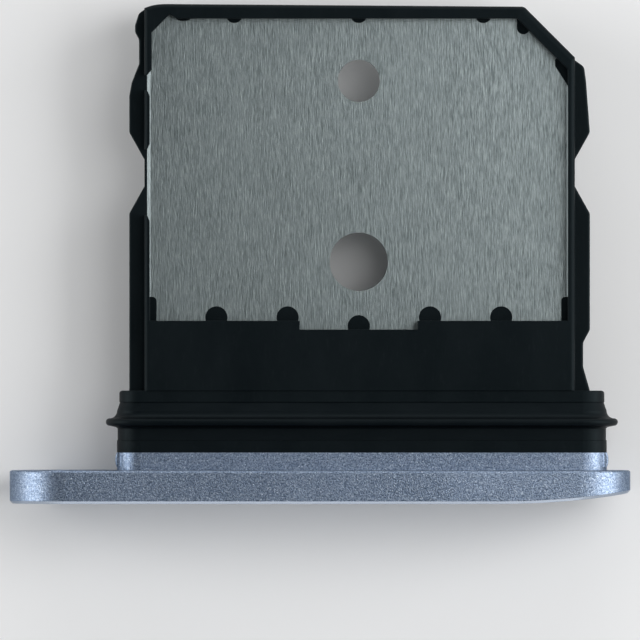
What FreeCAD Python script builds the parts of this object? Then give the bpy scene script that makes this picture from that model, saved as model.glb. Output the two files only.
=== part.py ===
# SIM card tray: a milled metal head, a moulded carrier, a sheet floor and a rubber seal.
# Millimetres. The origin is the middle of the face's outer side, +Y runs into the phone,
# +Z is up out of the card's place and +X runs along the face, away from the eject hole.
import FreeCAD, Part
import math
import os
import Sketcher

SIZES = {
    # Face of the head
    "face_width": 18.4,
    "face_height": 3.35,
    "face_thickness": 0.98,
    "face_rim": 0.08,
    "face_back_round": 0.07,
    "taper_length": 3.8,
    "taper_top": 0.095,
    "taper_bottom": 0.19,
    "sweep_length": 3.86,
    "sweep_depth": 0.32,
    "eject_hole_radius": 0.72,
    "eject_hole_chamfer": 0.1,
    # Neck of the head, and the tongue hidden in the root block
    "neck_offset": 1.24,
    "neck_width": 14.52,
    "neck_height": 1.44,
    "neck_length": 0.53,
    "tongue_end_cover": 0.51,
    "tongue_face_cover": 0.24,
    "tongue_tip_cover": 0.38,
    "tongue_slot_width": 1.5,
    "tongue_slot_length": 0.7,
    # Root block of the carrier, with the collars and the seal's groove
    "root_length": 1.83,
    "neck_collar_length": 0.36,
    "body_collar_length": 0.34,
    "body_collar_step": 0.07,
    "body_collar_round": 0.1,
    "groove_depth": 0.25,
    "lug_setback": 0.1,
    "lug_height": 0.74,
    "lug_depth": 0.3,
    "lug_bulge": 0.045,
    "lug_round": 0.05,
    # Seal ring
    "bead_setback": 0.54,
    "bead_reach": 0.33,
    "bead_tip_radius": 0.11,
    "bead_front_foot": 0.04,
    "bead_foot_reach": 0.03,
    "band_sink": 0.02,
    # Carrier body and the card's place
    "carrier_offset": 1.15,
    "carrier_height": 1.36,
    "web_length": 2.07,
    "pocket_width": 12.39,
    "pocket_length": 8.955,
    "left_wall": 0.155,
    "right_wall": 0.2,
    "tip_wall": 0.425,
    "tip_rake": 0.08,
    "tip_chamfer": 1.5,
    "tip_corner_round": 0.2,
    "far_tip_sweep": 0.6,
    "far_tip_drop": 0.12,
    "tip_round": 0.16,
    "wall_round": 0.13,
    "key_corner": 1.51,
    "far_corner": 0.54,
    "far_corner_relief": 0.1,
    "grip_rib_reach": 0.06,
    "grip_rib_length": 1.1,
    "tab_width": 3.5,
    "tab_depth": 0.26,
    # Windows in the left wall
    "window_depth": 0.075,
    "first_window_setback": 1.68,
    "first_window_length": 0.45,
    "second_window_setback": 3.88,
    "second_window_length": 1.95,
    "window_slope": 0.17,
    # Guide wings
    "wing_height": 0.6,
    "wing_reach": 0.45,
    "wing_round": 0.06,
    "wing_corner_round": 0.2,
    "wing_sink": 0.05,
    "nose_setback": 0.12,
    "nose_shoulder_reach": 0.17,
    "nose_shoulder": 0.16,
    "nose_reach": 0.28,
    "nose_lead": 0.51,
    "lead_reach": 0.34,
    "lead_length": 0.46,
    "nose_length": 0.2,
    "waist_reach": 0.16,
    "waist_slope": 0.22,
    "waist_length": 0.72,
    "flare_reach": 0.38,
    "flare_length": 0.56,
    "rail_lead": 0.4,
    "latch_setback": 4.7,
    "latch_length": 0.6,
    "latch_flank": 0.9,
    "heel_reach": 0.25,
    "heel_start": 1.8,
    "heel_slope": 0.38,
    "heel_length": 0.72,
    # Floor plate
    "plate_thickness": 0.2,
    "left_lip_width": 0.1,
    "right_lip_width": 0.035,
    "plate_lip_rise": 0.035,
    "plate_tip_lap": 0.2,
    "plate_web_lap": 0.75,
    "plate_far_corner": 0.5,
    "plate_notch_width": 0.2,
    "plate_notch_length": 0.71,
    "plate_notch_round": 0.12,
    "small_hole_radius": 0.625,
    "small_hole_setback": 1.845,
    "large_hole_radius": 0.865,
    "large_hole_standoff": 1.75,
    "anchor_radius": 0.33,
    "anchor_pitch": 2.11,
    "anchor_standoff": 0.1,
    "tip_slot_width": 0.42,
    "tip_slot_pitch": 3.69,
    "tip_slot_mouth": 0.02,
    "tip_slot_show": 0.13,
    "corner_slot_inset": 0.995,
    "corner_slot_show": 0.07,
    "key_relief_radius": 0.19,
    "key_relief_inset": 0.085,
    "key_relief_tail": 0.4,
}

doc = FreeCAD.newDocument("sim_card_tray")
sizes = doc.addObject("Spreadsheet::Sheet", "sizes")
for row, (alias, size) in enumerate(SIZES.items(), start=1):
    sizes.set(f"A{row}", alias)
    sizes.set(f"B{row}", str(size))
    sizes.setAlias(f"B{row}", alias)
doc.recompute()


def sized(expression):
    """The expression with each size's name led by the sheet's, as a binding needs it."""
    words = []
    for word in expression.replace("(", " ( ").replace(")", " ) ").split():
        sign = "-" if word.startswith("-") and word[1:] in SIZES else ""
        name = word[len(sign):]
        words.append(f"{sign}sizes.{name}" if name in SIZES else word)
    return " ".join(words)


def value(expression):
    """What an expression of the sheet's sizes is worth."""
    return float(sizes.evalExpression(sized(expression)))


def new_body(name, offset="0"):
    """A body whose own axis stands beside the middle of the face."""
    body = doc.addObject("PartDesign::Body", name)
    body.Label = name
    body.setExpression("Placement.Base.x", sized(offset))
    return body


def new_sketch(body, name, role, level):
    """A sketch in one of the body's own planes, shifted along the plane's normal."""
    plane = next(f for f in body.Origin.OriginFeatures if f.Role == role)
    sketch = body.newObject("Sketcher::SketchObject", name)
    sketch.AttachmentSupport = [(plane, "")]
    sketch.MapMode = "FlatFace"
    sketch.setExpression("AttachmentOffset.Base.z", sized(level))
    return sketch


def hold(sketch, kind, geometry, point, expression):
    """Bind one coordinate of a point to the sheet, measured from the sketch's origin."""
    place = Sketcher.Constraint(kind, -1, 1, geometry, point, value(expression))
    number = sketch.addConstraint(place)
    sketch.setExpression(f"Constraints[{number}]", sized(expression))


def arc_between(start, end, centre, turn):
    """The arc about centre from start to end, anticlockwise where turn is 1."""
    first, last = (start, end) if turn > 0 else (end, start)
    from_angle = math.atan2(first.y - centre.y, first.x - centre.x)
    to_angle = math.atan2(last.y - centre.y, last.x - centre.x)
    circle = Part.Circle(centre, FreeCAD.Vector(0, 0, 1), start.distanceToPoint(centre))
    return Part.ArcOfCircle(circle, from_angle, to_angle)


def add_outline(sketch, path):
    """A closed outline. Each step of the path is where it leads: a point's two
    expressions, and for an arc also its centre's two and the way it turns."""
    corners = [FreeCAD.Vector(value(step[0]), value(step[1]), 0) for step in path]
    ends = []
    for number, step in enumerate(path):
        start, end = corners[number - 1], corners[number]
        if len(step) == 2:
            geometry = sketch.addGeometry(Part.LineSegment(start, end), False)
            ends.append((geometry, 1, 2))
            continue
        centre = FreeCAD.Vector(value(step[2]), value(step[3]), 0)
        geometry = sketch.addGeometry(arc_between(start, end, centre, step[4]), False)
        ends.append((geometry, 1, 2) if step[4] > 0 else (geometry, 2, 1))
        chord = end - start
        if abs(chord.y) > abs(chord.x):
            hold(sketch, "DistanceX", geometry, 3, step[2])
        else:
            hold(sketch, "DistanceY", geometry, 3, step[3])
    for number, step in enumerate(path):
        geometry, _, end_point = ends[number]
        next_geometry, next_start, _ = ends[(number + 1) % len(path)]
        meeting = (geometry, end_point, next_geometry, next_start)
        sketch.addConstraint(Sketcher.Constraint("Coincident", *meeting))
        hold(sketch, "DistanceX", geometry, end_point, step[0])
        hold(sketch, "DistanceY", geometry, end_point, step[1])


def outline(body, name, role, path, level="0"):
    """A sketch that holds one closed outline."""
    sketch = new_sketch(body, name, role, level)
    add_outline(sketch, path)
    return sketch


def circles(body, name, role, places, radius, level="0"):
    """A sketch of equal circles."""
    sketch = new_sketch(body, name, role, level)
    for place_x, place_y in places:
        centre = FreeCAD.Vector(value(place_x), value(place_y), 0)
        circle = Part.Circle(centre, FreeCAD.Vector(0, 0, 1), value(radius))
        geometry = sketch.addGeometry(circle, False)
        hold(sketch, "DistanceX", geometry, 3, place_x)
        hold(sketch, "DistanceY", geometry, 3, place_y)
        number = sketch.addConstraint(Sketcher.Constraint("Radius", geometry, value(radius)))
        sketch.setExpression(f"Constraints[{number}]", sized(radius))
    return sketch


def rectangle(left, low, right, high):
    """The path round a rectangle."""
    return [(left, low), (right, low), (right, high), (left, high)]


def round_ended(middle, width, height):
    """The path round a bar with half-round ends, middle to middle on the level line."""
    left = f"{middle} - ( {width} - {height} ) / 2"
    right = f"{middle} + ( {width} - {height} ) / 2"
    low, high = f"-1 * {height} / 2", f"{height} / 2"
    return [
        (left, low, left, "0", 1),
        (right, low),
        (right, high, right, "0", 1),
        (left, high),
    ]


def add_feature(body, kind, name, profile, length, both_ways, reverse):
    """A pad or a pocket from a sketch."""
    feature = body.newObject(kind, name)
    feature.Profile = profile
    feature.setExpression("Length", sized(length))
    feature.Midplane = both_ways
    feature.Reversed = reverse
    doc.recompute()
    return feature


def pad(body, name, profile, length, both_ways=False, reverse=False):
    return add_feature(body, "PartDesign::Pad", name, profile, length, both_ways, reverse)


def pocket(body, name, profile, length, both_ways=False, reverse=False):
    """A pocket, which has to take something away."""
    before = body.Tip.Shape.Volume
    feature = add_feature(
        body, "PartDesign::Pocket", name, profile, length, both_ways, reverse)
    if not feature.Shape.Volume < before:
        raise RuntimeError(f"{name} cuts nothing")
    return feature


def dress(body, kind, name, size_name, size, edges):
    """A fillet or a chamfer on edges of what the body is so far."""
    base = body.Tip
    feature = body.newObject(kind, name)
    feature.Base = (base, edges)
    feature.setExpression(size_name, sized(size))
    doc.recompute()
    return feature


def fillet(body, name, radius, edges):
    return dress(body, "PartDesign::Fillet", name, "Radius", radius, edges)


def chamfer(body, name, size, edges):
    return dress(body, "PartDesign::Chamfer", name, "Size", size, edges)


def mirror_down(body, name, originals):
    """The same features again, below the level that the tray's middle lies on."""
    feature = body.newObject("PartDesign::Mirrored", name)
    plane = next(f for f in body.Origin.OriginFeatures if f.Role == "XY_Plane")
    feature.Originals = originals
    feature.MirrorPlane = (plane, [""])
    body.Tip = feature
    doc.recompute()
    return feature


def edges_where(shape, fits):
    """The names of the edges that fit, such as Edge7."""
    return [f"Edge{number}" for number, edge in enumerate(shape.Edges, 1) if fits(edge)]


def near(first, second):
    return abs(first - second) < 1e-5


def stands_at(edge, places):
    """Whether the edge is upright, over one of the places given as (x, y)."""
    box = edge.BoundBox
    if box.XLength > 1e-5 or box.YLength > 1e-5 or box.ZLength < 1e-5:
        return False
    return any(near(box.XMin, x) and near(box.YMin, y) for x, y in places)


def places(*pairs):
    return [(value(x), value(y)) for x, y in pairs]


# Levels along the tray, from the face's outer side inward
SHOULDER = "face_thickness"
NECK_END = f"{SHOULDER} + neck_length"
ROOT_END = f"{NECK_END} + root_length"
WEB_END = f"{ROOT_END} + web_length"
TIP_LINE = f"{WEB_END} + pocket_length"
TIP_END = f"{TIP_LINE} + tip_wall"

# Levels across the carrier, from its own axis
POCKET_LEFT = "-1 * pocket_width / 2"
POCKET_RIGHT = "pocket_width / 2"
BODY_LEFT = f"{POCKET_LEFT} - left_wall"
BODY_RIGHT = f"{POCKET_RIGHT} + right_wall"
ROOT_MIDDLE = "neck_offset - carrier_offset"
FLOOR_TOP = "plate_thickness / 2"

# The root block's core inside the seal, and the head's tongue inside the core
CORE_WIDTH = "( neck_width - 2 * groove_depth )"
CORE_HEIGHT = "( neck_height - 2 * groove_depth )"
TONGUE_WIDTH = f"( {CORE_WIDTH} - 2 * tongue_end_cover )"
TONGUE_HEIGHT = f"( {CORE_HEIGHT} - 2 * tongue_face_cover )"
TONGUE_LENGTH = "( root_length - tongue_tip_cover )"
TONGUE_SLOTS = 5

# Holes right through the floor: name, place along the tray, radius
HOLES = (
    ("small_hole", f"{TIP_LINE} - small_hole_setback", "small_hole_radius"),
    ("large_hole", f"{WEB_END} + large_hole_standoff", "large_hole_radius"),
)


def make_head():
    """Face, neck and tongue, milled from one bar."""
    body = new_body("face_head")
    left_middle = "-1 * ( face_width - face_height ) / 2"
    end_height = "( face_height - taper_top - taper_bottom )"
    right_middle = f"( face_width - {end_height} ) / 2"
    top, bottom = "face_height / 2", "-1 * face_height / 2"
    taper_start = f"{right_middle} - taper_length"
    right_level = "( taper_bottom - taper_top ) / 2"
    face = outline(body, "face_outline", "XZ_Plane", [
        (left_middle, bottom, left_middle, "0", 1),
        (taper_start, bottom),
        (right_middle, f"{bottom} + taper_bottom"),
        (right_middle, f"{top} - taper_top", right_middle, right_level, 1),
        (taper_start, top),
        (left_middle, top),
    ])
    pad(body, "face", face, SHOULDER, reverse=True)

    # The face's outer side sweeps back towards its far end.
    sweep_start = "face_width / 2 - sweep_length"
    sweep_radius = "( sweep_length ^ 2 + sweep_depth ^ 2 ) / ( 2 * sweep_depth )"
    sweep = outline(body, "sweep_outline", "XY_Plane", [
        (sweep_start, "-1 * face_thickness"),
        ("face_width", "-1 * face_thickness"),
        ("face_width", "sweep_depth"),
        ("face_width / 2", "sweep_depth"),
        (sweep_start, "0", sweep_start, sweep_radius, -1),
    ])
    pocket(body, "sweep", sweep, "face_height", both_ways=True)

    def on_back(edge):
        box = edge.BoundBox
        return near(box.YMin, value(SHOULDER)) and near(box.YMax, value(SHOULDER))

    fillet(body, "back_edge", "face_back_round", edges_where(body.Tip.Shape, on_back))

    def on_front(edge):
        return edge.BoundBox.YMax < value("sweep_depth") + 1e-5 and not near(
            edge.BoundBox.XLength, 0)

    chamfer(body, "rim", "face_rim", edges_where(body.Tip.Shape, on_front))

    hole = circles(
        body, "eject_hole_outline", "XZ_Plane", [(left_middle, "0")], "eject_hole_radius")
    pocket(body, "eject_hole", hole, "2 * face_thickness", both_ways=True)

    def on_mouth(edge):
        box = edge.BoundBox
        return near(box.YMax, 0) and near(box.ZLength, 2 * value("eject_hole_radius"))

    chamfer(
        body, "eject_hole_mouth", "eject_hole_chamfer",
        edges_where(body.Tip.Shape, on_mouth))

    neck = outline(
        body, "neck_outline", "XZ_Plane",
        round_ended("neck_offset", "neck_width", "neck_height"),
        level=f"-1 * ( {SHOULDER} )")
    pad(body, "neck", neck, "neck_length", reverse=True)
    add_lugs(body)
    tongue = outline(
        body, "tongue_outline", "XZ_Plane",
        rectangle(
            f"neck_offset - {TONGUE_WIDTH} / 2", f"-1 * {TONGUE_HEIGHT} / 2",
            f"neck_offset + {TONGUE_WIDTH} / 2", f"{TONGUE_HEIGHT} / 2"),
        level=f"-1 * ( {NECK_END} )")
    pad(body, "tongue", tongue, TONGUE_LENGTH, reverse=True)

    # Slots that the carrier's plastic runs through
    slot_start = f"{NECK_END} + ( {TONGUE_LENGTH} - tongue_slot_length ) / 2"
    for number in range(TONGUE_SLOTS):
        steps = number - (TONGUE_SLOTS - 1) / 2
        middle = f"neck_offset + {steps} * {TONGUE_WIDTH} / {TONGUE_SLOTS}"
        slot = outline(body, f"tongue_slot_outline_{number + 1}", "XY_Plane", rectangle(
            f"{middle} - tongue_slot_width / 2", slot_start,
            f"{middle} + tongue_slot_width / 2", f"{slot_start} + tongue_slot_length"))
        pocket(body, f"tongue_slot_{number + 1}", slot, TONGUE_HEIGHT, both_ways=True)
    return body


def lug_path(side):
    """The plan of the small lug that stands out of one end of the neck."""
    end = f"( neck_offset + {side} * neck_width / 2 )"
    inner = f"{end} - {side} * lug_depth"
    start, finish = f"{SHOULDER} + lug_setback", NECK_END
    half_length = "( ( neck_length - lug_setback ) / 2 )"
    arc_radius = f"( ( {half_length} ^ 2 + lug_bulge ^ 2 ) / ( 2 * lug_bulge ) )"
    centre_x = f"{end} + {side} * ( lug_bulge - {arc_radius} )"
    centre_y = f"{start} + {half_length}"
    return [
        (inner, finish),
        (inner, start),
        (end, start),
        (end, finish, centre_x, centre_y, side),
    ]


def add_lugs(body):
    """A flat lug out of each end of the neck, rounded where it stands out."""
    for name, side in (("left_lug", -1), ("right_lug", 1)):
        lug = outline(body, f"{name}_outline", "XY_Plane", lug_path(side))
        pad(body, name, lug, "lug_height", both_ways=True)
    level = value("lug_height / 2")

    def on_lug(edge):
        box = edge.BoundBox
        return near(box.ZLength, 0) and near(abs(box.ZMin), level) and near(
            box.YLength, value("neck_length - lug_setback"))

    fillet(body, "lug_edges", "lug_round", edges_where(body.Tip.Shape, on_lug))


def make_carrier_blank():
    """The carrier as it would be with nothing moulded into it."""
    body = new_body("carrier_blank", "carrier_offset")
    add_wings(body)
    far_radius = "( ( far_tip_sweep ^ 2 + far_tip_drop ^ 2 ) / ( 2 * far_tip_drop ) )"
    far_start = f"{BODY_LEFT} + far_tip_sweep"
    walls = outline(body, "body_outline", "XY_Plane", [
        (BODY_LEFT, ROOT_END),
        (BODY_RIGHT, ROOT_END),
        (BODY_RIGHT, f"{TIP_END} - tip_rake - tip_chamfer"),
        (f"{BODY_RIGHT} - tip_chamfer", f"{TIP_END} - tip_rake"),
        (far_start, TIP_END),
        (BODY_LEFT, f"{TIP_END} - far_tip_drop", far_start, f"{TIP_END} - {far_radius}", 1),
    ])
    pad(body, "carrier_body", walls, "carrier_height", both_ways=True)
    round_outer_edges(body)
    add_root_block(body)
    cut_card_place(body)
    return body


def round_outer_edges(body):
    """Rounds on the walls' outer edges, larger round the tip than along the sides."""
    corner = places((f"{BODY_RIGHT} - tip_chamfer", f"{TIP_END} - tip_rake"))
    fillet(
        body, "tip_corner", "tip_corner_round",
        edges_where(body.Tip.Shape, lambda edge: stands_at(edge, corner)))
    half_height = value("carrier_height / 2")
    chamfer_end = value(f"{TIP_END} - tip_rake - tip_chamfer")

    def on_tip(edge):
        box = edge.BoundBox
        level = near(box.ZLength, 0) and near(abs(box.ZMin), half_height)
        return level and box.YMin > chamfer_end - 1e-5

    fillet(body, "tip_edge", "tip_round", edges_where(body.Tip.Shape, on_tip))
    rounds = []
    for name, side, edge in (("left_edge", -1, BODY_LEFT), ("right_edge", 1, BODY_RIGHT)):
        section = outline(
            body, f"{name}_outline", "XZ_Plane", edge_round_path(side, edge),
            level=f"-1 * ( {ROOT_END} )")
        rounds.append(pocket(body, name, section, "web_length + pocket_length + tip_wall"))
    mirror_down(body, "lower_edges", rounds)


def edge_round_path(side, edge):
    """What a round along one upper edge of the walls takes off, in section."""
    inner = f"{edge} - {side} * wall_round"
    outer = f"{edge} + {side} * wall_round"
    low, high = "carrier_height / 2 - wall_round", "carrier_height / 2 + wall_round"
    return [
        (edge, low, inner, low, -side),
        (outer, low),
        (outer, high),
        (inner, high),
        (inner, "carrier_height / 2"),
    ]


def left_wing_path():
    """Nose at the tip, a waist, the long rail and the latch notch."""
    nose_start = f"{TIP_END} - nose_setback"
    nose = f"{nose_start} - nose_lead"
    waist = f"{nose} - nose_length - waist_slope"
    flare = f"{waist} - waist_length - flare_length"
    latch = f"{TIP_END} - latch_setback"
    return [
        (f"{BODY_LEFT} + wing_sink", nose_start),
        (f"{BODY_LEFT} - nose_shoulder_reach", f"{nose_start} - nose_shoulder"),
        (f"{BODY_LEFT} - nose_reach", nose),
        (f"{BODY_LEFT} - nose_reach", f"{nose} - nose_length"),
        (f"{BODY_LEFT} - waist_reach", waist),
        (f"{BODY_LEFT} - waist_reach", f"{waist} - waist_length"),
        (f"{BODY_LEFT} - flare_reach", flare),
        (f"{BODY_LEFT} - wing_reach", f"{flare} - rail_lead"),
        (f"{BODY_LEFT} - wing_reach", f"{latch} + latch_flank"),
        (f"{BODY_LEFT} + wing_sink", latch),
        (f"{BODY_LEFT} + wing_sink", f"{latch} - latch_length"),
        (f"{BODY_LEFT} - wing_reach", f"{latch} - latch_length - latch_flank"),
        (f"{BODY_LEFT} - wing_reach", ROOT_END),
    ]


def right_wing_path():
    """Lead from the cut corner, the long rail, the latch notch and a heel at the root."""
    lead = f"{TIP_END} - tip_rake - tip_chamfer"
    latch = f"{TIP_END} - latch_setback"
    heel = f"{ROOT_END} + heel_start"
    return [
        (f"{BODY_RIGHT} + wing_reach", ROOT_END),
        (f"{BODY_RIGHT} + heel_reach", f"{heel} - heel_slope - heel_length"),
        (f"{BODY_RIGHT} + heel_reach", f"{heel} - heel_slope"),
        (f"{BODY_RIGHT} + wing_reach", heel),
        (f"{BODY_RIGHT} + wing_reach", f"{latch} - latch_length - latch_flank"),
        (f"{BODY_RIGHT} - wing_sink", f"{latch} - latch_length"),
        (f"{BODY_RIGHT} - wing_sink", latch),
        (f"{BODY_RIGHT} + wing_reach", f"{latch} + latch_flank"),
        (f"{BODY_RIGHT} + lead_reach", f"{lead} - nose_reach - lead_length"),
        (f"{BODY_RIGHT} + nose_reach", f"{lead} - nose_reach"),
        (f"{BODY_RIGHT} - 2 * wing_sink", lead),
        (f"{BODY_LEFT} + wing_reach", lead),
    ]


def add_wings(body):
    """Both guide wings as one slab, rounded at its corners and along its edges."""
    path = left_wing_path() + right_wing_path()
    slab = outline(body, "wing_outline", "XY_Plane", path)
    pad(body, "wings", slab, "wing_height", both_ways=True)
    left, right, root = value(BODY_LEFT), value(BODY_RIGHT), value(ROOT_END)
    corners = [(x, y) for x, y in places(*path) if x < left - 0.01 or x > right + 0.01]
    open_corners = [place for place in corners if not near(place[1], root)]
    fillet(
        body, "wing_corners", "wing_corner_round",
        edges_where(body.Tip.Shape, lambda edge: stands_at(edge, open_corners)))

    def on_rim(edge):
        box = edge.BoundBox
        outside = box.XMin < left - 0.01 or box.XMax > right + 0.01
        return near(box.ZLength, 0) and outside and not near(box.YMax, root)

    fillet(body, "wing_rim", "wing_round", edges_where(body.Tip.Shape, on_rim))


def add_root_block(body):
    """Core with a collar at each end."""
    core = outline(
        body, "root_core_outline", "XZ_Plane",
        round_ended(ROOT_MIDDLE, CORE_WIDTH, CORE_HEIGHT), level=f"-1 * ( {NECK_END} )")
    pad(body, "root_core", core, "root_length", reverse=True)
    neck_collar = outline(
        body, "neck_collar_outline", "XZ_Plane",
        round_ended(ROOT_MIDDLE, "neck_width", "neck_height"),
        level=f"-1 * ( {NECK_END} )")
    pad(body, "neck_collar", neck_collar, "neck_collar_length", reverse=True)
    body_collar = outline(
        body, "body_collar_outline", "XZ_Plane",
        round_ended(
            ROOT_MIDDLE, "( neck_width - 2 * body_collar_step )",
            "( neck_height - 2 * body_collar_step )"),
        level=f"body_collar_length - ( {ROOT_END} )")
    pad(body, "body_collar", body_collar, "body_collar_length", reverse=True)
    for name, side in (("left_collar_round", -1), ("right_collar_round", 1)):
        corner = outline(body, f"{name}_outline", "XY_Plane", collar_round_path(side))
        pocket(body, name, corner, "carrier_height", both_ways=True)


def collar_round_path(side):
    """What a round at one end of the rear collar takes off, in plan."""
    edge = f"{ROOT_MIDDLE} + {side} * ( neck_width / 2 - body_collar_step )"
    inner = f"{edge} - {side} * body_collar_round"
    outer = f"{edge} + {side} * body_collar_round"
    low, high = f"{ROOT_END} - body_collar_round", f"{ROOT_END} + body_collar_round"
    return [
        (outer, low),
        (outer, high),
        (inner, high),
        (inner, ROOT_END),
        (edge, low, inner, low, -side),
    ]


def card_place_path():
    """The walls' inner side, with the rib, windows, keyed corner and tab window."""
    deep_left = f"{POCKET_LEFT} - window_depth"
    second_start = f"{TIP_LINE} - second_window_setback"
    second_end = f"{second_start} - second_window_length"
    first_start = f"{TIP_LINE} - first_window_setback"
    first_end = f"{first_start} - first_window_length"
    rib_end = f"{first_start} + window_slope"
    rib_start = f"{rib_end} + grip_rib_length"
    rib_face = f"{POCKET_LEFT} + grip_rib_reach"
    far_top = f"{rib_start} + far_corner"
    far_right = f"{rib_face} + far_corner"
    return [
        (POCKET_LEFT, WEB_END),
        ("-1 * tab_width / 2", WEB_END),
        ("-1 * tab_width / 2", f"{WEB_END} - tab_depth"),
        ("tab_width / 2", f"{WEB_END} - tab_depth"),
        ("tab_width / 2", WEB_END),
        (POCKET_RIGHT, WEB_END),
        (POCKET_RIGHT, f"{TIP_LINE} - key_corner"),
        (f"{POCKET_RIGHT} - key_corner", TIP_LINE),
        (f"{far_right} + 2 * far_corner_relief", TIP_LINE),
        (far_right, far_top),
        (rib_face, rib_start),
        (rib_face, rib_end),
        (deep_left, first_start),
        (deep_left, first_end),
        (POCKET_LEFT, f"{first_end} - window_slope"),
        (POCKET_LEFT, f"{second_start} + window_slope"),
        (deep_left, second_start),
        (deep_left, second_end),
        (POCKET_LEFT, f"{second_end} - window_slope"),
    ]


def cut_card_place(body):
    """The card's place from above and, mirrored, from below, and the wall's windows."""
    place = outline(
        body, "card_place_outline", "XY_Plane", card_place_path(), level=FLOOR_TOP)
    upper = pocket(body, "card_place", place, "carrier_height / 2", reverse=True)
    cuts = [upper]
    for name, setback, length in (
            ("first_window", "first_window_setback", "first_window_length"),
            ("second_window", "second_window_setback", "second_window_length")):
        high = f"{TIP_LINE} - {setback}"
        window = outline(
            body, f"{name}_outline", "XY_Plane",
            rectangle(
                f"{BODY_LEFT} - wing_reach", f"{high} - {length}",
                f"{POCKET_LEFT} + window_depth", high),
            level="wing_height / 2")
        cuts.append(pocket(body, name, window, "carrier_height / 2", reverse=True))
    mirror_down(body, "card_place_below", cuts)
    for name, level, radius in HOLES:
        hole = circles(body, f"{name}_outline", "XY_Plane", [("0", level)], radius)
        pocket(body, name, hole, "carrier_height", both_ways=True)


def tip_notch(middle, show, high):
    """A round-bottomed notch in the sheet's tip edge."""
    half = "( tip_slot_width / 2 )"
    mouth = f"( {TIP_LINE} - tip_slot_mouth )"
    drop = f"( {show} - tip_slot_mouth )"
    centre = f"{mouth} + ( {half} ^ 2 - {drop} ^ 2 ) / ( 2 * {drop} )"
    return [
        (f"{middle} + {half}", high),
        (f"{middle} + {half}", mouth),
        (f"{middle} - {half}", mouth, middle, centre, -1),
        (f"{middle} - {half}", high),
    ]


def plate_path():
    """The sheet's outline, of which the plastic covers all but the card's place."""
    left = f"{POCKET_LEFT} - window_depth"
    low = f"{WEB_END} - plate_web_lap"
    high = f"{TIP_LINE} + plate_tip_lap"
    notch_top = f"{WEB_END} + plate_notch_length"
    notch_side = f"{notch_top} - plate_notch_round"
    left_notch = f"{POCKET_LEFT} + plate_notch_width"
    left_round = f"{left_notch} - plate_notch_round"
    right_notch = f"{POCKET_RIGHT} - plate_notch_width"
    right_round = f"{right_notch} + plate_notch_round"
    path = [
        (left_notch, low),
        (right_notch, low),
        (right_notch, notch_side),
        (right_round, notch_top, right_round, notch_side, -1),
        (POCKET_RIGHT, notch_top),
    ]
    # Relief at the keyed corner's side end
    relief_x = f"( {POCKET_RIGHT} - key_relief_radius )"
    relief_y = f"( {TIP_LINE} - key_corner + key_relief_radius - key_relief_inset )"
    path += [
        (POCKET_RIGHT, f"{relief_y} - key_relief_radius - key_relief_tail"),
        (f"{relief_x} - key_relief_radius", relief_y),
        (f"{relief_x} - key_relief_radius", f"{relief_y} + key_relief_radius"),
        (relief_x, f"{relief_y} + 2 * key_relief_radius"),
    ]
    # Relief at its tip end, a slot that ends in a half round
    slot_left = f"( {POCKET_RIGHT} - key_corner )"
    slot_middle = f"( {slot_left} + key_relief_radius )"
    slot_right = f"( {slot_middle} + key_relief_radius )"
    slot_end = f"( {TIP_LINE} - key_relief_radius - key_relief_inset )"
    path += [
        (slot_right, f"{high} - 2 * key_relief_radius"),
        (slot_right, slot_end),
        (slot_left, slot_end, slot_middle, slot_end, -1),
        (slot_left, high),
    ]
    # Notches in the tip edge, the last one beside the far corner
    for middle in ("tip_slot_pitch", "0", "-1 * tip_slot_pitch"):
        path += tip_notch(middle, "tip_slot_show", high)
    path += tip_notch(f"{POCKET_LEFT} + corner_slot_inset", "corner_slot_show", high)
    path += [
        (f"{left} + plate_far_corner", high),
        (left, f"{high} - plate_far_corner"),
        (left, notch_top),
        (left_round, notch_top),
        (left_notch, notch_side, left_round, notch_side, -1),
    ]
    return path


def make_floor_plate():
    """The floor sheet, with a fine lip that stands up along each side."""
    body = new_body("floor_plate", "carrier_offset")
    sheet = outline(body, "plate_outline", "XY_Plane", plate_path())
    pad(body, "sheet", sheet, "plate_thickness", both_ways=True)
    for name, level, radius in HOLES:
        hole = circles(body, f"sheet_{name}_outline", "XY_Plane", [("0", level)], radius)
        pocket(body, f"sheet_{name}", hole, "plate_thickness", both_ways=True)
    anchor_row = [(f"{n} * anchor_pitch", f"{WEB_END} + anchor_standoff") for n in (-2, -1, 1, 2)]
    anchor_row.append(("0", f"{WEB_END} - tab_depth + anchor_standoff"))
    anchors = circles(
        body, "anchor_hole_outline", "XY_Plane", anchor_row, "anchor_radius")
    pocket(body, "anchor_holes", anchors, "plate_thickness", both_ways=True)
    relief = "( key_corner + key_relief_inset + key_relief_tail )"
    far = "( plate_far_corner - plate_tip_lap )"
    for name, side, edge, width, stop in (
            ("left_lip", -1, f"{POCKET_LEFT} - window_depth", "left_lip_width", far),
            ("right_lip", 1, POCKET_RIGHT, "right_lip_width", relief)):
        lip = outline(
            body, f"{name}_outline", "XZ_Plane", lip_path(side, edge, width),
            level=f"-1 * ( {WEB_END} + plate_notch_length )")
        pad(body, name, lip, f"pocket_length - plate_notch_length - {stop}", reverse=True)
    return body


def lip_path(side, edge, width):
    """The section of the lip that stands up along one side of the sheet."""
    inner = f"{edge} - {side} * {width}"
    return [
        (inner, "0"),
        (edge, "0"),
        (edge, f"{FLOOR_TOP} + plate_lip_rise"),
        (inner, FLOOR_TOP),
    ]


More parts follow.
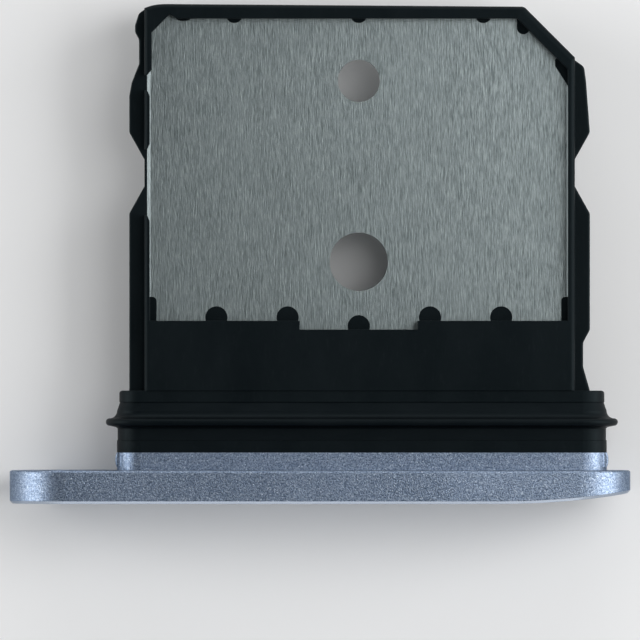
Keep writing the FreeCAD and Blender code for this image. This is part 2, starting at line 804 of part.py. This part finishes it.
def make_seal_ring():
    """The rubber ring, its section swept once round the groove."""
    body = new_body("seal_ring", "carrier_offset")
    start = f"( {NECK_END} + neck_collar_length )"
    length = "( root_length - neck_collar_length - body_collar_length )"
    spine_path = round_ended(ROOT_MIDDLE, CORE_WIDTH, CORE_HEIGHT)
    spine = outline(body, "ring_path", "XZ_Plane", spine_path, level=f"-1 * {start}")
    surface = "( neck_height / 2 )"
    inner = f"{CORE_HEIGHT} / 2"
    band = f"{surface} - band_sink"
    rear_band = f"{band} - body_collar_step"
    tip = f"( {start} + bead_setback )"
    tip_level = f"( {surface} + bead_reach - bead_tip_radius )"
    flank = "( bead_reach - bead_tip_radius )"
    foot = f"{tip} + bead_tip_radius + {flank}"
    section = new_sketch(body, "ring_section", "YZ_Plane", ROOT_MIDDLE)
    add_outline(section, [
        (start, inner),
        (start, band),
        (f"{tip} - bead_tip_radius - 2 * bead_front_foot", band),
        (f"{tip} - bead_tip_radius - bead_front_foot", f"{surface} + bead_foot_reach"),
        (f"{tip} - bead_tip_radius", tip_level),
        (f"{tip} + bead_tip_radius", tip_level, tip, tip_level, -1),
        (foot, surface, foot, tip_level, 1),
        (f"{start} + {length}", rear_band),
        (f"{start} + {length}", inner),
    ])
    ring = body.newObject("PartDesign::AdditivePipe", "ring")
    ring.Profile = section
    ring.Spine = spine
    doc.recompute()
    return body


def make_carrier(blank, inserts):
    """The carrier with the plate and the head moulded into it."""
    carrier = blank
    for number, insert in enumerate(inserts, start=1):
        cut = doc.addObject("Part::Cut", f"carrier_cut_{number}")
        cut.Base = carrier
        cut.Tool = insert
        doc.recompute()
        carrier = cut
    carrier.Label = "card_carrier"
    return carrier


head = make_head()
plate = make_floor_plate()
carrier = make_carrier(make_carrier_blank(), [plate, head])
nodes = [head, carrier, plate, make_seal_ring()]
doc.recompute()

failed = [o.Name for o in doc.Objects if {"Invalid", "Error"} & set(o.State)]
if failed:
    raise RuntimeError(f"not computed: {failed}")
for node in nodes:
    if node.Shape.isNull() or not node.Shape.isValid():
        raise RuntimeError(f"{node.Label} has no valid shape")

os.makedirs("parts", exist_ok=True)
for node in nodes:
    node.Shape.exportStep(f"parts/{node.Label}.step")
    print(node.Label, len(node.Shape.Solids), round(node.Shape.Volume, 3), node.Shape.BoundBox)
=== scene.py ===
import bpy
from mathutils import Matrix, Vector


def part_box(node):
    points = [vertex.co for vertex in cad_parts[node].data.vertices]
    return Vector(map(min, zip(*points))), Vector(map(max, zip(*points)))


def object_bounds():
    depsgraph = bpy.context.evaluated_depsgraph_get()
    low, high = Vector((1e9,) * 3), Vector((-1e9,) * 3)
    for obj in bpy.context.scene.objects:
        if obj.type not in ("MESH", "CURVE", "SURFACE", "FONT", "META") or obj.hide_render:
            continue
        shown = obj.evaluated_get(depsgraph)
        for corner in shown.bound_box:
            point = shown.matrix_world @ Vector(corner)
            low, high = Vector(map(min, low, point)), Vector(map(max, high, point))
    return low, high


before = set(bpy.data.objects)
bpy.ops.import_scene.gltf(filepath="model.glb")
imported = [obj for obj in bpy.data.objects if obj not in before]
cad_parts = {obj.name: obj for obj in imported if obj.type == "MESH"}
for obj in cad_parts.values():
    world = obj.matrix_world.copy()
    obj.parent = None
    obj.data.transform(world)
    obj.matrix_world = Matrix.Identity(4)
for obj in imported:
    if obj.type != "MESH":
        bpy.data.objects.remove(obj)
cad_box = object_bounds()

MM = 0.001

# The photograph, in pixels: its width, the face's width in it, and how far the face's
# outer side lies under its middle
PHOTO_WIDTH = 640
PHOTO_FACE_WIDTH = 620.5
PHOTO_FACE_DROP = 183.3

# The same view in metres of the frame, and the camera that takes it
FACE_LOW, FACE_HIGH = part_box("face_head")
VIEW_WIDTH = (FACE_HIGH.x - FACE_LOW.x) * PHOTO_WIDTH / PHOTO_FACE_WIDTH
VIEW_MIDDLE = Vector((0, FACE_LOW.y + VIEW_WIDTH * PHOTO_FACE_DROP / PHOTO_WIDTH, 0))
CAMERA_HEIGHT = 0.4
CLIP_NEAR, CLIP_FAR = 0.005, 20
SENSOR_WIDTH = 36

# The studio, in metres: a floor, and a wall whose light fades from the horizon up to a
# height on the unit sphere
FLOOR_LEVEL = cad_box[0].z
FLOOR_REACH = 0.6
WALL_COLOUR = (0.97, 0.985, 1.0, 1)
WALL_HORIZON, WALL_OVERHEAD = 0.62, 0.15
WALL_FADE_TOP = 0.7

# Each soft box's place and size in metres, and its power in watts
LAMPS = {
    "left_box": ((-0.56, 0.024, 0.212), (0.56, 0.44), 2.4),
    "right_box": ((0.52, 0.024, 0.24), (0.56, 0.48), 2.9),
    "high_box": ((0.034, 0.022, 0.058), (0.035, 0.06), 0.016),
    "front_box": ((0, -0.56, 0.14), (0.56, 0.28), 0.55),
    "rear_box": ((0, 0.6, 0.18), (0.56, 0.36), 1.3),
}

# Where most of a noise's values lie
NOISE_SPAN = (0.3, 0.7)
BEVEL_SAMPLES = 6
# The cool tint of what the black pieces reflect
COOL_SHEEN = (0.7, 0.93, 1.0, 1.0)


class Look:
    """A material whose nodes work in millimetres of the object's own coordinates."""

    def __init__(self, name, **values):
        """The values are the shader's own, the same all over the surface."""
        self.material = bpy.data.materials.new(name)
        self.material.use_nodes = True
        self.nodes = self.material.node_tree.nodes
        self.links = self.material.node_tree.links
        self.shader = self.nodes["Principled BSDF"]
        self.source = self.nodes.new("ShaderNodeTexCoord")
        for socket, value in values.items():
            self.shader.inputs[socket.replace("_", " ")].default_value = value

    def add(self, kind, values, links):
        """A node with constant values and other nodes' outputs at its named sockets."""
        node = self.nodes.new(kind)
        for socket, value in values.items():
            node.inputs[socket].default_value = value
        for socket, output in links.items():
            self.links.new(output, node.inputs[socket])
        return node

    def place(self, x=1.0, y=1.0, z=1.0, turn=0.0):
        """Coordinates in millimetres. A factor under 1 draws what is laid on them out
        along its axis."""
        node = self.add(
            "ShaderNodeMapping",
            {"Scale": (x / MM, y / MM, z / MM), "Rotation": (0, 0, turn)},
            {"Vector": self.source.outputs["Object"]})
        return node.outputs["Vector"]

    def noise(self, place, scale, detail=2.0, rough=0.5, twist=0.0):
        node = self.add(
            "ShaderNodeTexNoise",
            {"Scale": scale, "Detail": detail, "Roughness": rough, "Distortion": twist},
            {"Vector": place})
        return node.outputs["Fac"]

    def cells(self, place, scale):
        """A random value for each small cell."""
        cells = self.add("ShaderNodeTexVoronoi", {"Scale": scale}, {"Vector": place})
        grey = self.add("ShaderNodeSeparateColor", {}, {"Color": cells.outputs["Color"]})
        return grey.outputs[0]

    def spread(self, value, span=NOISE_SPAN, to=(0.0, 1.0)):
        """The part of a value inside one span, set out over another."""
        node = self.add(
            "ShaderNodeMapRange",
            {"From Min": span[0], "From Max": span[1], "To Min": to[0], "To Max": to[1]},
            {"Value": value})
        return node.outputs["Result"]

    def math(self, operation, first, second):
        """Two values put together, each a number or another node's."""
        node = self.nodes.new("ShaderNodeMath")
        node.operation = operation
        for number, value in enumerate((first, second)):
            if isinstance(value, float):
                node.inputs[number].default_value = value
            else:
                self.links.new(value, node.inputs[number])
        return node.outputs[0]

    def blend(self, amount, first, second):
        """Between two colours, each a value or another node's."""
        node = self.nodes.new("ShaderNodeMix")
        node.data_type = "RGBA"
        self.links.new(amount, node.inputs["Factor"])
        for name, colour in (("A", first), ("B", second)):
            socket = next(s for s in node.inputs if s.name == name and s.type == "RGBA")
            if isinstance(colour, tuple):
                socket.default_value = (*colour, 1)
            else:
                self.links.new(colour, socket)
        return next(s for s in node.outputs if s.type == "RGBA")

    def softened(self, radius):
        """Normals as if the solid's sharp edges were rounded a little, in millimetres."""
        node = self.add("ShaderNodeBevel", {"Radius": radius * MM}, {})
        node.samples = BEVEL_SAMPLES
        return node.outputs["Normal"]

    def bump(self, height, depth, before=None, share=None):
        """Relief of a depth in millimetres, over what lies before it, and where wanted
        only a share of it."""
        links = {"Strength": share, "Height": height, "Normal": before}
        links = {socket: output for socket, output in links.items() if output}
        return self.add("ShaderNodeBump", {"Distance": depth * MM}, links).outputs["Normal"]

    def facing(self, axis):
        """How far the surface faces along one of the object's axes."""
        normal = self.source.outputs["Normal"]
        return self.add("ShaderNodeSeparateXYZ", {}, {"Vector": normal}).outputs[axis]

    def give(self, colour, roughness=None, normal=None):
        """The material, with these at its shader."""
        for name, output in (
                ("Base Color", colour), ("Roughness", roughness), ("Normal", normal)):
            if output:
                self.links.new(output, self.shader.inputs[name])
        return self.material


def blasted_aluminium():
    """Blue-grey anodising over a bead-blasted surface, polished along the rims and lightened
    there as a painted highlight.
    """
    look = Look("head_metal", Metallic=1.0, Specular_Tint=(0.6, 0.65, 0.72, 1.0))
    place = look.place()
    cloud = look.noise(place, 0.45, detail=3.0)
    grain = look.noise(place, 24.0, rough=0.6)
    pits = look.cells(place, 28.0)
    # Cells whose colour is lightened into painted glints
    painted_glints = look.cells(place, 34.0)

    # The rims are bevelled, half-way between the face towards -Y and the sides. They are
    # polished, and their lighter colour is a painted highlight.
    outward = look.facing("Y")
    polished_rim_highlight = look.math(
        "SUBTRACT", look.spread(outward, (-0.97, -0.88)), look.spread(outward, (-0.5, -0.3)))
    off_rim = look.math("SUBTRACT", 1.0, polished_rim_highlight)
    polish = -0.14

    colour = look.blend(look.spread(cloud), (0.2, 0.262, 0.365), (0.235, 0.3, 0.41))
    for amount, other in (
            (look.spread(pits, (0.3, 1.0), to=(0.0, 0.55)), (0.48, 0.56, 0.68)),
            (look.spread(grain, (0.56, 0.36), to=(0.0, 0.75)), (0.06, 0.09, 0.14)),
            # painted glints on the brightest cells
            (look.spread(painted_glints, (0.95, 1.0), to=(0.0, 0.6)), (0.7, 0.78, 0.9)),
            # painted highlight: the rims' colour is lightened
            (polished_rim_highlight, (0.4, 0.45, 0.53))):
        colour = look.blend(amount, colour, other)
    blasted = look.math(
        "ADD", look.spread(pits, (0.0, 1.0), to=(0.31, 0.39)),
        look.spread(cloud, to=(-0.02, 0.03)))
    roughness = look.math("ADD", blasted, look.math("MULTIPLY", polished_rim_highlight, polish))
    relief = look.bump(grain, 0.011, look.softened(0.03), off_rim)
    return look.give(colour, roughness, look.bump(pits, 0.002, relief, off_rim))


def brushed_steel():
    """Rolled stainless sheet, brushed along the tray in short uneven strokes, duller along
    its cut edges, and darkened as painted shade where its sides turn up."""
    look = Look("floor_steel", Metallic=1.0, Specular_Tint=(0.58, 0.6, 0.61, 1.0))
    strokes = look.noise(look.place(y=0.1, turn=0.02), 47.0, rough=0.6)
    hairs = look.noise(look.place(y=0.035), 48.0, detail=1.0)
    cloud = look.noise(look.place(y=0.5), 0.5, detail=3.0)
    brushing = look.math("MULTIPLY", look.math("ADD", strokes, hairs), 0.5)

    # The square is 1 on both flat sides of the sheet.
    upward = look.facing("Z")
    dull_edge_and_painted_shade = look.spread(look.math("MULTIPLY", upward, upward), (0.98, 0.86))

    colour = look.blend(
        look.spread(brushing, (0.36, 0.64)), (0.122, 0.148, 0.151), (0.345, 0.396, 0.401))
    colour = look.blend(look.spread(cloud, to=(0.0, 0.3)), colour, (0.27, 0.315, 0.32))
    # darker where the sheet tilts: duller cut edges, and painted shade on the turned-up lips
    colour = look.blend(dull_edge_and_painted_shade, colour, (0.12, 0.138, 0.142))
    roughness = look.math(
        "ADD", look.spread(brushing, to=(0.42, 0.3)), look.spread(cloud, to=(0.0, 0.04)))
    relief = look.bump(hairs, 0.0022, look.bump(strokes, 0.0045))
    return look.give(colour, roughness, relief)


def moulded_plastic():
    """Black glass-filled plastic with a fine spark-eroded grain."""
    look = Look("carrier_plastic", Specular_IOR_Level=0.1, Specular_Tint=COOL_SHEEN)
    grain = look.noise(look.place(), 15.0, detail=3.0, rough=0.6)
    flow = look.noise(look.place(y=0.45), 0.9, detail=4.0, rough=0.55, twist=0.4)
    fibres = look.noise(look.place(y=0.22, turn=0.3), 9.0)
    colour = look.blend(look.spread(flow), (0.0014, 0.0028, 0.0038), (0.003, 0.0048, 0.006))
    colour = look.blend(
        look.spread(fibres, (0.6, 0.78), to=(0.0, 0.4)), colour, (0.008, 0.0105, 0.012))
    roughness = look.math(
        "ADD", look.spread(grain, to=(0.42, 0.54)), look.spread(flow, to=(-0.04, 0.05)))
    relief = look.bump(grain, 0.0022, look.bump(flow, 0.004, look.softened(0.035)))
    return look.give(colour, roughness, relief)


def moulded_rubber():
    """Smooth black silicone with a faint bloom."""
    look = Look("seal_rubber", Specular_IOR_Level=0.105, Specular_Tint=COOL_SHEEN)
    bloom = look.noise(look.place(x=0.35), 1.4, detail=4.0, rough=0.6)
    grain = look.noise(look.place(), 11.0)
    colour = look.blend(
        look.spread(bloom, (0.3, 0.72)), (0.001, 0.002, 0.003), (0.0026, 0.004, 0.0052))
    roughness = look.math(
        "ADD", look.spread(bloom, to=(0.42, 0.52)), look.spread(grain, to=(0.0, 0.05)))
    relief = look.bump(grain, 0.0009, look.bump(bloom, 0.006))
    return look.give(colour, roughness, relief)


def studio_paper():
    """The pale floor, with the faintest mottle of paper."""
    look = Look("studio_paper", Roughness=0.9, Specular_IOR_Level=0.1)
    mottle = look.noise(look.place(), 0.05, detail=4.0)
    return look.give(look.blend(mottle, (0.79, 0.795, 0.8), (0.82, 0.82, 0.82)))


def dress(node, made):
    """Give a CAD node its finish."""
    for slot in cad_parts[node].material_slots:
        slot.material = made


def add_floor(made):
    mesh = bpy.data.meshes.new("studio_floor")
    corners = [(-1, -1), (1, -1), (1, 1), (-1, 1)]
    mesh.from_pydata(
        [(x * FLOOR_REACH, y * FLOOR_REACH, FLOOR_LEVEL) for x, y in corners],
        [], [(0, 1, 2, 3)])
    mesh.materials.append(made)
    floor = bpy.data.objects.new("studio_floor", mesh)
    bpy.context.scene.collection.objects.link(floor)


def add_lamp(name, place, size, power):
    """A soft box that faces the tray and isn't seen itself."""
    data = bpy.data.lights.new(name, "AREA")
    data.shape = "RECTANGLE"
    data.size, data.size_y = size
    data.energy = power
    lamp = bpy.data.objects.new(name, data)
    lamp.location = place
    lamp.rotation_euler = (VIEW_MIDDLE - lamp.location).to_track_quat("-Z", "Y").to_euler()
    lamp.visible_camera = False
    bpy.context.scene.collection.objects.link(lamp)


def add_world():
    """A plain studio wall, pale at the horizon and dimmer overhead."""
    world = bpy.data.worlds.new("studio")
    world.use_nodes = True
    nodes, links = world.node_tree.nodes, world.node_tree.links
    background = nodes["Background"]
    background.inputs["Color"].default_value = WALL_COLOUR
    source = nodes.new("ShaderNodeTexCoord")
    height = nodes.new("ShaderNodeSeparateXYZ")
    links.new(source.outputs["Generated"], height.inputs["Vector"])
    fade = nodes.new("ShaderNodeMapRange")
    fade.interpolation_type = "SMOOTHSTEP"
    fade.inputs["From Max"].default_value = WALL_FADE_TOP
    fade.inputs["To Min"].default_value = WALL_HORIZON
    fade.inputs["To Max"].default_value = WALL_OVERHEAD
    links.new(height.outputs["Z"], fade.inputs["Value"])
    links.new(fade.outputs["Result"], background.inputs["Strength"])
    bpy.context.scene.world = world


def add_camera():
    """Straight above the tray, as in the photograph, through a long lens."""
    data = bpy.data.cameras.new("plan_camera")
    data.sensor_width = SENSOR_WIDTH
    data.lens = SENSOR_WIDTH * CAMERA_HEIGHT / VIEW_WIDTH
    data.clip_start, data.clip_end = CLIP_NEAR, CLIP_FAR
    camera = bpy.data.objects.new("plan_camera", data)
    camera.location = VIEW_MIDDLE + Vector((0, 0, CAMERA_HEIGHT))
    bpy.context.scene.collection.objects.link(camera)
    bpy.context.scene.camera = camera


add_camera()
dress("face_head", blasted_aluminium())
dress("card_carrier", moulded_plastic())
dress("floor_plate", brushed_steel())
dress("seal_ring", moulded_rubber())
add_floor(studio_paper())
add_world()
for lamp_name, (lamp_place, lamp_size, lamp_power) in LAMPS.items():
    add_lamp(lamp_name, lamp_place, lamp_size, lamp_power)
bpy.context.scene.view_settings.view_transform = "Standard"
